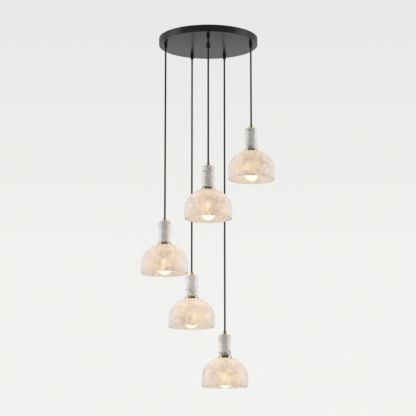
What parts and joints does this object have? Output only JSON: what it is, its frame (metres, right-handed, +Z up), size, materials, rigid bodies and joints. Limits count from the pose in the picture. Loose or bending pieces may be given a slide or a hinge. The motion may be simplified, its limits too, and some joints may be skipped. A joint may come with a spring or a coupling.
{
  "type": "cluster pendant light",
  "caption": "Ceiling cluster light: round black canopy with alabaster dome shades, marble necks and brass collars on black cords at stepped heights.",
  "frame": {"origin": "centre of the canopy on the ceiling plane, midway between the bracket's slots", "axes": "+Z up into the ceiling, +X to the right and -Y towards the viewer in the picture"},
  "size_m": [0.5697, 0.5249, 1.5118],
  "materials": {
    "canopy_black": "satin",
    "plated_steel": "zinc plated",
    "terminal_white": "matte",
    "grip_black": "satin",
    "cord_black": "braided",
    "brass": "brushed",
    "marble": "honed",
    "alabaster": "polished",
    "holder_black": "matte",
    "lit_glass": "opal",
    "cap_nickel": "nickel plated"
  },
  "bodies": {
    "canopy": {"canopy_shell": "canopy_black", "ceiling_bracket": "plated_steel", "centre_nipple": "plated_steel", "nipple_nuts": "plated_steel", "finial_nut": "canopy_black", "earth_screw": "plated_steel", "terminal_block": "terminal_white", "cord_tails": "cord_black", "grip_nuts": "plated_steel", "cord_grip_1": "grip_black", "cord_grip_2": "grip_black", "cord_grip_3": "grip_black", "cord_grip_4": "grip_black", "cord_grip_5": "grip_black"},
    "hanging_cord_1": {"cord_1": "cord_black"},
    "pendant_1": {"cord_ferrule_1": "brass", "marble_sleeve_1": "marble", "brass_flange_1": "brass", "shade_1": "alabaster", "lampholder_1": "holder_black", "shade_ring_1": "holder_black"},
    "bulb_1": {"bulb_globe_1": "lit_glass", "bulb_cap_1": "cap_nickel"},
    "hanging_cord_2": {"cord_2": "cord_black"},
    "pendant_2": {"cord_ferrule_2": "brass", "marble_sleeve_2": "marble", "brass_flange_2": "brass", "shade_2": "alabaster", "lampholder_2": "holder_black", "shade_ring_2": "holder_black"},
    "bulb_2": {"bulb_globe_2": "lit_glass", "bulb_cap_2": "cap_nickel"},
    "hanging_cord_3": {"cord_3": "cord_black"},
    "pendant_3": {"cord_ferrule_3": "brass", "marble_sleeve_3": "marble", "brass_flange_3": "brass", "shade_3": "alabaster", "lampholder_3": "holder_black", "shade_ring_3": "holder_black"},
    "bulb_3": {"bulb_globe_3": "lit_glass", "bulb_cap_3": "cap_nickel"},
    "hanging_cord_4": {"cord_4": "cord_black"},
    "pendant_4": {"cord_ferrule_4": "brass", "marble_sleeve_4": "marble", "brass_flange_4": "brass", "shade_4": "alabaster", "lampholder_4": "holder_black", "shade_ring_4": "holder_black"},
    "bulb_4": {"bulb_globe_4": "lit_glass", "bulb_cap_4": "cap_nickel"},
    "hanging_cord_5": {"cord_5": "cord_black"},
    "pendant_5": {"cord_ferrule_5": "brass", "marble_sleeve_5": "marble", "brass_flange_5": "brass", "shade_5": "alabaster", "lampholder_5": "holder_black", "shade_ring_5": "holder_black"},
    "bulb_5": {"bulb_globe_5": "lit_glass", "bulb_cap_5": "cap_nickel"}
  },
  "joints": [
    {"name": "swing_1", "type": "hinge", "parent": "canopy", "child": "hanging_cord_1", "pos_m": [0.18487, -0.03929, -0.05], "axis": [1, 0, 0], "range_deg": [-5, 5]},
    {"name": "raise_1", "type": "slide", "parent": "hanging_cord_1", "child": "pendant_1", "axis": [0, 0, 1], "range_m": [0, 0.2], "deforming": ["cord_1"]},
    {"name": "bulb_turn_1", "type": "hinge", "parent": "pendant_1", "child": "bulb_1", "pos_m": [0.18487, -0.03929, -0.546], "axis": [0, 0, 1], "range_deg": [0, 1080]},
    {"name": "swing_2", "type": "hinge", "parent": "canopy", "child": "hanging_cord_2", "pos_m": [0, -0.182, -0.05], "axis": [1, 0, 0], "range_deg": [-5, 5]},
    {"name": "raise_2", "type": "slide", "parent": "hanging_cord_2", "child": "pendant_2", "axis": [0, 0, 1], "range_m": [0, 0.2], "deforming": ["cord_2"]},
    {"name": "bulb_turn_2", "type": "hinge", "parent": "pendant_2", "child": "bulb_2", "pos_m": [0, -0.182, -0.742], "axis": [0, 0, 1], "range_deg": [0, 1080]},
    {"name": "swing_3", "type": "hinge", "parent": "canopy", "child": "hanging_cord_3", "pos_m": [-0.18487, -0.03929, -0.05], "axis": [1, 0, 0], "range_deg": [-5, 5]},
    {"name": "raise_3", "type": "slide", "parent": "hanging_cord_3", "child": "pendant_3", "axis": [0, 0, 1], "range_m": [0, 0.2], "deforming": ["cord_3"]},
    {"name": "bulb_turn_3", "type": "hinge", "parent": "pendant_3", "child": "bulb_3", "pos_m": [-0.18487, -0.03929, -0.952], "axis": [0, 0, 1], "range_deg": [0, 1080]},
    {"name": "swing_4", "type": "hinge", "parent": "canopy", "child": "hanging_cord_4", "pos_m": [-0.07189, 0.14294, -0.05], "axis": [1, 0, 0], "range_deg": [-5, 5]},
    {"name": "raise_4", "type": "slide", "parent": "hanging_cord_4", "child": "pendant_4", "axis": [0, 0, 1], "range_m": [0, 0.2], "deforming": ["cord_4"]},
    {"name": "bulb_turn_4", "type": "hinge", "parent": "pendant_4", "child": "bulb_4", "pos_m": [-0.07189, 0.14294, -1.16], "axis": [0, 0, 1], "range_deg": [0, 1080]},
    {"name": "swing_5", "type": "hinge", "parent": "canopy", "child": "hanging_cord_5", "pos_m": [0.07189, 0.14294, -0.05], "axis": [1, 0, 0], "range_deg": [-5, 5]},
    {"name": "raise_5", "type": "slide", "parent": "hanging_cord_5", "child": "pendant_5", "axis": [0, 0, 1], "range_m": [0, 0.1], "deforming": ["cord_5"]},
    {"name": "bulb_turn_5", "type": "hinge", "parent": "pendant_5", "child": "bulb_5", "pos_m": [0.07189, 0.14294, -1.417], "axis": [0, 0, 1], "range_deg": [0, 1080]}
  ]
}
